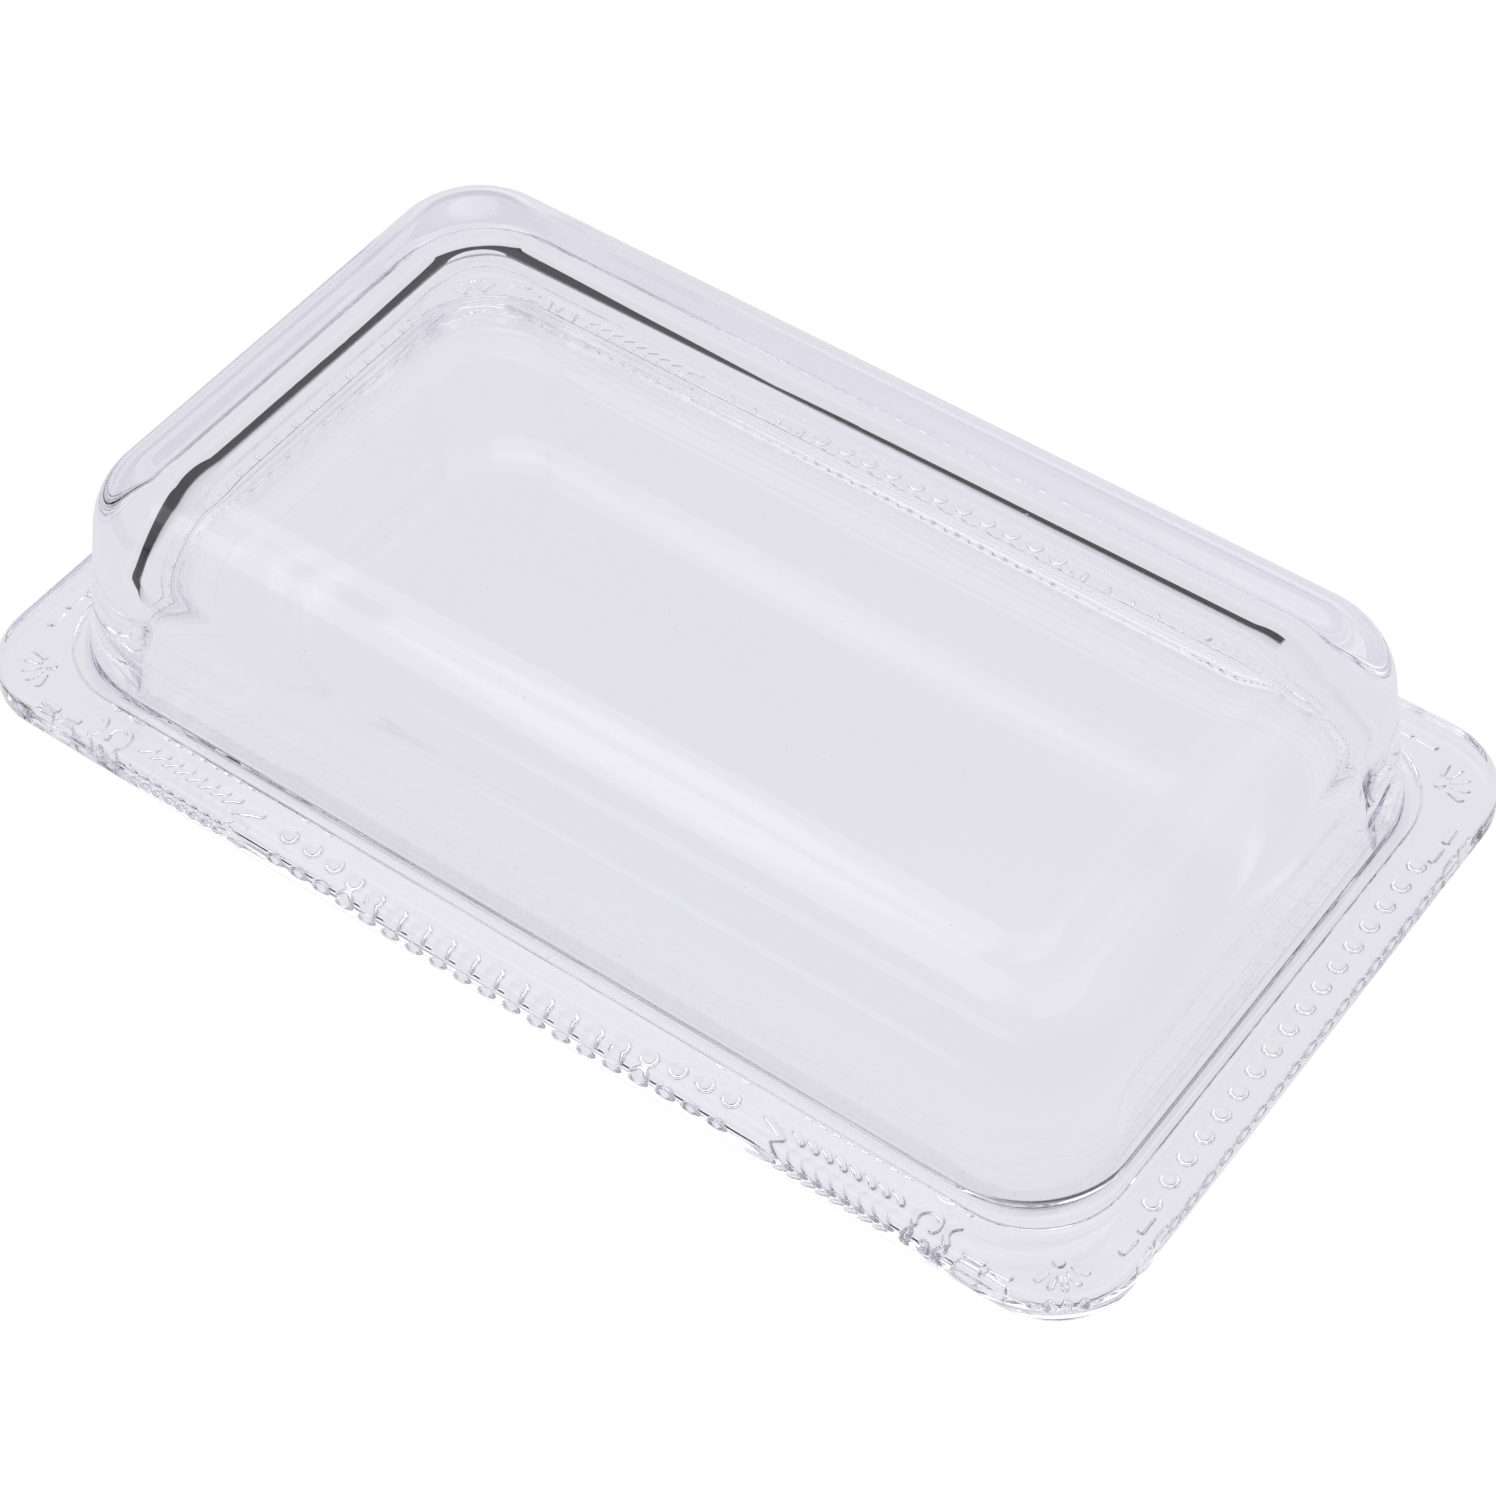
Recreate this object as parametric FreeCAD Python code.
import FreeCAD, Part
import math
import os
from FreeCAD import Vector as V

# Butter dish in clear pressed glass: a rimmed tray with a shallow well, and a plain domed
# lid that stands in the well. Millimetres, +Z up, X along the length. The origin is the
# centre of the flat underside that the tray rests on.

os.makedirs("parts", exist_ok=True)

# Every outline is a rounded rectangle given by its width (_W, along Y) and corner radius
# (_R); its length is the width plus EXTRA_L.
EXTRA_L = 80.0

# ---- tray ---------------------------------------------------------------------------
RIM_W, RIM_R = 120.0, 13.0
RIM_L = RIM_W + EXTRA_L
RIM_TOP = 6.0                    # height of the rim's upper face
RIM_T = 5.0                      # thickness of the rim
RIM_UNDER = RIM_TOP - RIM_T      # height of the rim's underside
RIM_TOP_R, RIM_BOT_R = 1.3, 1.0  # rounding of the rim's outer edge, above and below

WELL_W, WELL_R = 104.6, 14.8     # well that the lid stands in
FLOOR_Z = 3.0                    # height of the well's floor
WELL_LIP_R = 0.35                # rounding of the well's mouth
WELL_FOOT_R = 0.3                # rounding at the foot of the well's wall

BASE_TOP_W, BASE_TOP_R = 92.0, 10.0  # underside slopes gently from here
BASE_W, BASE_R = 80.0, 8.0           # down to the flat resting face

# ---- lid ----------------------------------------------------------------------------
LID_Z0 = FLOOR_Z + 0.05          # underside of the lid, just clear of the well's floor
LID_TOP = 40.27                  # height of the crown
LID_BASE_W, LID_BASE_R = 101.5, 15.0
LID_TOP_W, LID_TOP_R = 93.2, 15.0    # where the drafted walls would meet the crown
LID_EDGE_R = 9.58                # rounding from the walls to the crown

LIP_GAP = 0.2                    # gap between the lip round the foot and the well's wall
LIP_W, LIP_R = WELL_W - 2 * LIP_GAP, WELL_R - LIP_GAP
LIP_TOP = RIM_TOP - 0.1          # just below the rim's upper face
LIP_EDGE_R = 0.3                 # rounding of the lip's edges
FLARE_R = 1.4                    # hollow rounding from the walls out to the lip

LID_WALL = 5.0                   # thickness of the walls
LID_CROWN = 7.0                  # thickness of the crown
CEILING_Z = LID_TOP - LID_CROWN
CAV_BASE_R, CAV_TOP_R = 14.0, 17.0   # corner radii of the hollow
CAV_EDGE_R = 14.1                # rounding between the hollow's walls and ceiling
LID_FOOT_R = 0.8                 # rounding of the hollow's mouth

# ---- edge selection -----------------------------------------------------------------
LEVEL_TOL = 0.02
# Ranges of half-width that single out one outline among those at the same height.
WELL_MOUTH = (50.5, 53.5)
WALL_FOOT = (50.0, 51.0)
LIP_OUTSIDE = (51.9, 52.5)
HOLLOW_MOUTH = (40.0, 47.0)

# ---- relief under the rim -----------------------------------------------------------
BEAD_R, BEAD_H = 1.46, 0.95      # radius and height of each bead
BEAD_PITCH = 4.41
SHORT_BEADS, LONG_BEADS = 8, 9   # beads each side of the middle one
SHORT_BEAD_IN = 4.75             # row's distance in from the rim's edge, short sides
LONG_BEAD_IN = 3.3               # the same at the middle of the long sides
LONG_BEAD_DIP = 2.05             # how much further in the long rows end
DIP_START, DIP_SPAN = 4, 4.0     # beads from the middle to the dip, and beads it takes
BEAD_SINK, BEAD_REACH = 0.2, 1.0     # bead is trimmed this far above and below the underside

STROKE_W, STROKE_H = 0.54, 0.48  # half-width and height of a stroke
FAINT_W, FAINT_H = 0.5, 0.2      # the same for the fainter row of leaves
STROKE_SINK = 0.3                # how far a stroke runs up into the rim
SLACK = 0.05                     # trimming shapes stand this far clear of the relief

# The motifs are laid out in the quarter with x > 0 and y < 0.
CHEVRON = [(45.4, -54.0), (47.2, -54.7), (49.2, -55.8), (46.0, -57.2)]
# Scrolls: centre x, y, start radius, end radius, start angle, end angle, segments
SCROLLS = [
    (72.8, -55.1, 1.5, 2.0, -40, 220, 5),
    (77.6, -55.0, 1.8, 1.8, 120, 240, 3),
]
LEAVES, LEAF_X, LEAF_PITCH = 8, 51.8, 2.35
# Ends of a leaf: x from its station, y
LEAF = [(-1.9, -53.7), (0.0, -54.9)]
FAINT_LEAF = [(-1.5, -57.1), (-0.4, -56.1)]
# Dashes near the corner: middle x, y, half-extent along x, y
DASHES = [
    (81.0, -56.2, 1.3, 0.0), (85.0, -56.2, 1.3, 0.1),
    (96.5, -38.6, 0.0, 1.3), (96.4, -42.8, 0.1, 1.3),
]
SHELL_X, SHELL_Y = 90.4, -50.4   # shell in the corner: a bead with ribs fanned round it
SHELL_R, SHELL_H = 1.0, 0.5
RIB_START, RIB_END = 2.1, 4.0    # distances of a rib's ends from the shell's centre
RIB_MIDDLE, RIB_STEP = -45, 29   # angle of the middle rib, and between ribs
RIBS_EACH_SIDE = 2


def outline(width, radius, z):
    """Rounded rectangle as a wire of four lines and four arcs."""
    x, y = (width + EXTRA_L) / 2.0, width / 2.0
    line_x, line_y = x - radius, y - radius        # ends of the straight sides
    cut = radius * (1 - math.sqrt(0.5))
    arc_x, arc_y = x - cut, y - cut                # middles of the corner arcs
    sides = [
        Part.LineSegment(V(-line_x, -y, z), V(line_x, -y, z)),
        Part.Arc(V(line_x, -y, z), V(arc_x, -arc_y, z), V(x, -line_y, z)),
        Part.LineSegment(V(x, -line_y, z), V(x, line_y, z)),
        Part.Arc(V(x, line_y, z), V(arc_x, arc_y, z), V(line_x, y, z)),
        Part.LineSegment(V(line_x, y, z), V(-line_x, y, z)),
        Part.Arc(V(-line_x, y, z), V(-arc_x, arc_y, z), V(-x, line_y, z)),
        Part.LineSegment(V(-x, line_y, z), V(-x, -line_y, z)),
        Part.Arc(V(-x, -line_y, z), V(-arc_x, -arc_y, z), V(-line_x, -y, z)),
    ]
    return Part.Wire([side.toShape() for side in sides])


def slab(width, radius, z, height):
    return Part.Face(outline(width, radius, z)).extrude(V(0, 0, height))


def frustum(lower, upper):
    """Solid between two outlines given as (width, radius, z)."""
    return Part.makeLoft([outline(*lower), outline(*upper)], True, True)


def level_edges(shape, z, half_widths=(0.0, math.inf)):
    """Edges lying at height z on outlines whose half-width is in the given range."""
    found = []
    for edge in shape.Edges:
        box = edge.BoundBox
        if abs(box.ZMin - z) < LEVEL_TOL and abs(box.ZMax - z) < LEVEL_TOL:
            from_x = max(abs(box.XMin), abs(box.XMax)) - EXTRA_L / 2.0
            from_y = max(abs(box.YMin), abs(box.YMax))
            if half_widths[0] <= max(from_x, from_y) <= half_widths[1]:
                found.append(edge)
    return found


def dome_radius(half_width, height):
    """Radius of the circle whose cap has this half-width and height."""
    return (half_width ** 2 + height ** 2) / (2 * height)


def bead(x, y, radius=BEAD_R, height=BEAD_H):
    """Shallow dome hanging from the rim's underside."""
    ball_r = dome_radius(radius, height)
    ball = Part.makeSphere(ball_r, V(x, y, RIM_UNDER - height + ball_r))
    trim = Part.makeCylinder(radius + SLACK, BEAD_REACH + BEAD_SINK,
                             V(x, y, RIM_UNDER - BEAD_REACH))
    return ball.common(trim)


def stroke(points, half_width=STROKE_W, height=STROKE_H):
    """Raised stroke with round ends through the given (x, y) points."""
    rod_r = dome_radius(half_width, height)
    path = [V(x, y, RIM_UNDER - height + rod_r) for x, y in points]
    rods = [Part.makeSphere(rod_r, point) for point in path]
    for start, end in zip(path[:-1], path[1:]):
        rods.append(Part.makeCylinder(rod_r, (end - start).Length, start, end - start))
    x0, x1 = min(p.x for p in path) - rod_r, max(p.x for p in path) + rod_r
    y0, y1 = min(p.y for p in path) - rod_r, max(p.y for p in path) + rod_r
    trim = Part.makeBox(x1 - x0, y1 - y0, height + STROKE_SINK + SLACK,
                        V(x0, y0, RIM_UNDER - height - SLACK))
    return rods[0].fuse(rods[1:]).common(trim)


def polar(x, y, radius, degrees):
    angle = math.radians(degrees)
    return (x + radius * math.cos(angle), y + radius * math.sin(angle))


def curl(x, y, start_r, end_r, start_angle, end_angle, segments):
    """Points along an arc round (x, y) whose radius changes steadily."""
    points = []
    for i in range(segments + 1):
        t = i / segments
        radius = start_r + (end_r - start_r) * t
        points.append(polar(x, y, radius, start_angle + (end_angle - start_angle) * t))
    return points


def smooth(t):
    """Ease from 0 to 1, held level outside that range."""
    t = min(max(t, 0.0), 1.0)
    return t * t * (3 - 2 * t)


def bead_rows():
    beads = []
    for i in range(-SHORT_BEADS, SHORT_BEADS + 1):
        for side in (-1, 1):
            beads.append(bead(side * (RIM_L / 2 - SHORT_BEAD_IN), i * BEAD_PITCH))
    for i in range(-LONG_BEADS, LONG_BEADS + 1):
        inset = LONG_BEAD_IN + LONG_BEAD_DIP * smooth((abs(i) - DIP_START) / DIP_SPAN)
        for side in (-1, 1):
            beads.append(bead(i * BEAD_PITCH, side * (RIM_W / 2 - inset)))
    return beads


def quarter_motifs():
    motifs = [stroke(CHEVRON)]
    motifs += [stroke(curl(*scroll)) for scroll in SCROLLS]
    motifs.append(bead(SHELL_X, SHELL_Y, SHELL_R, SHELL_H))
    for i in range(LEAVES):
        leaf_x = LEAF_X + LEAF_PITCH * i
        motifs.append(stroke([(leaf_x + x, y) for x, y in LEAF]))
        motifs.append(stroke([(leaf_x + x, y) for x, y in FAINT_LEAF], FAINT_W, FAINT_H))
    for x, y, dx, dy in DASHES:
        motifs.append(stroke([(x - dx, y - dy), (x + dx, y + dy)]))
    for i in range(-RIBS_EACH_SIDE, RIBS_EACH_SIDE + 1):
        angle = RIB_MIDDLE + RIB_STEP * i
        motifs.append(stroke([polar(SHELL_X, SHELL_Y, r, angle) for r in (RIB_START, RIB_END)]))
    return motifs


def four_ways(shape):
    """Copies of a shape in all four quarters."""
    copies = []
    for flip_x in (False, True):
        for flip_y in (False, True):
            item = shape.copy()
            if flip_x:
                item = item.mirror(V(0, 0, 0), V(1, 0, 0))
            if flip_y:
                item = item.mirror(V(0, 0, 0), V(0, 1, 0))
            copies.append(item)
    return copies


def make_tray():
    tray = slab(RIM_W, RIM_R, RIM_UNDER, RIM_T)
    tray = tray.makeFillet(RIM_TOP_R, level_edges(tray, RIM_TOP))
    tray = tray.makeFillet(RIM_BOT_R, level_edges(tray, RIM_UNDER))
    base = frustum((BASE_W, BASE_R, 0.0), (BASE_TOP_W, BASE_TOP_R, RIM_UNDER))
    tray = tray.fuse(base).removeSplitter()
    well = slab(WELL_W, WELL_R, FLOOR_Z, RIM_T)    # runs out above the rim
    well = well.makeFillet(WELL_FOOT_R, level_edges(well, FLOOR_Z))
    tray = tray.cut(well)
    tray = tray.makeFillet(WELL_LIP_R, level_edges(tray, RIM_TOP, WELL_MOUTH))
    relief = bead_rows()
    for motif in quarter_motifs():
        relief += four_ways(motif)
    return tray.fuse(relief)


def make_hollow():
    rise = (CEILING_Z - LID_Z0) / (LID_TOP - LID_Z0)
    ceiling_w = LID_BASE_W + (LID_TOP_W - LID_BASE_W) * rise - 2 * LID_WALL
    hollow = frustum((LID_BASE_W - 2 * LID_WALL, CAV_BASE_R, LID_Z0),
                     (ceiling_w, CAV_TOP_R, CEILING_Z))
    return hollow.makeFillet(CAV_EDGE_R, level_edges(hollow, CEILING_Z))


def make_lid():
    lid = frustum((LID_BASE_W, LID_BASE_R, LID_Z0), (LID_TOP_W, LID_TOP_R, LID_TOP))
    lid = lid.makeFillet(LID_EDGE_R, level_edges(lid, LID_TOP))
    lip = slab(LIP_W, LIP_R, LID_Z0, LIP_TOP - LID_Z0)
    lid = lid.fuse(lip).removeSplitter()
    lid = lid.makeFillet(FLARE_R, level_edges(lid, LIP_TOP, WALL_FOOT))
    lip_edges = level_edges(lid, LIP_TOP, LIP_OUTSIDE) + level_edges(lid, LID_Z0, LIP_OUTSIDE)
    lid = lid.makeFillet(LIP_EDGE_R, lip_edges)
    lid = lid.cut(make_hollow())
    return lid.makeFillet(LID_FOOT_R, level_edges(lid, LID_Z0, HOLLOW_MOUTH))


for name, shape in (("tray", make_tray()), ("lid", make_lid())):
    piece = shape.Solids[0] if len(shape.Solids) == 1 else shape
    piece.exportStep("parts/%s.step" % name)
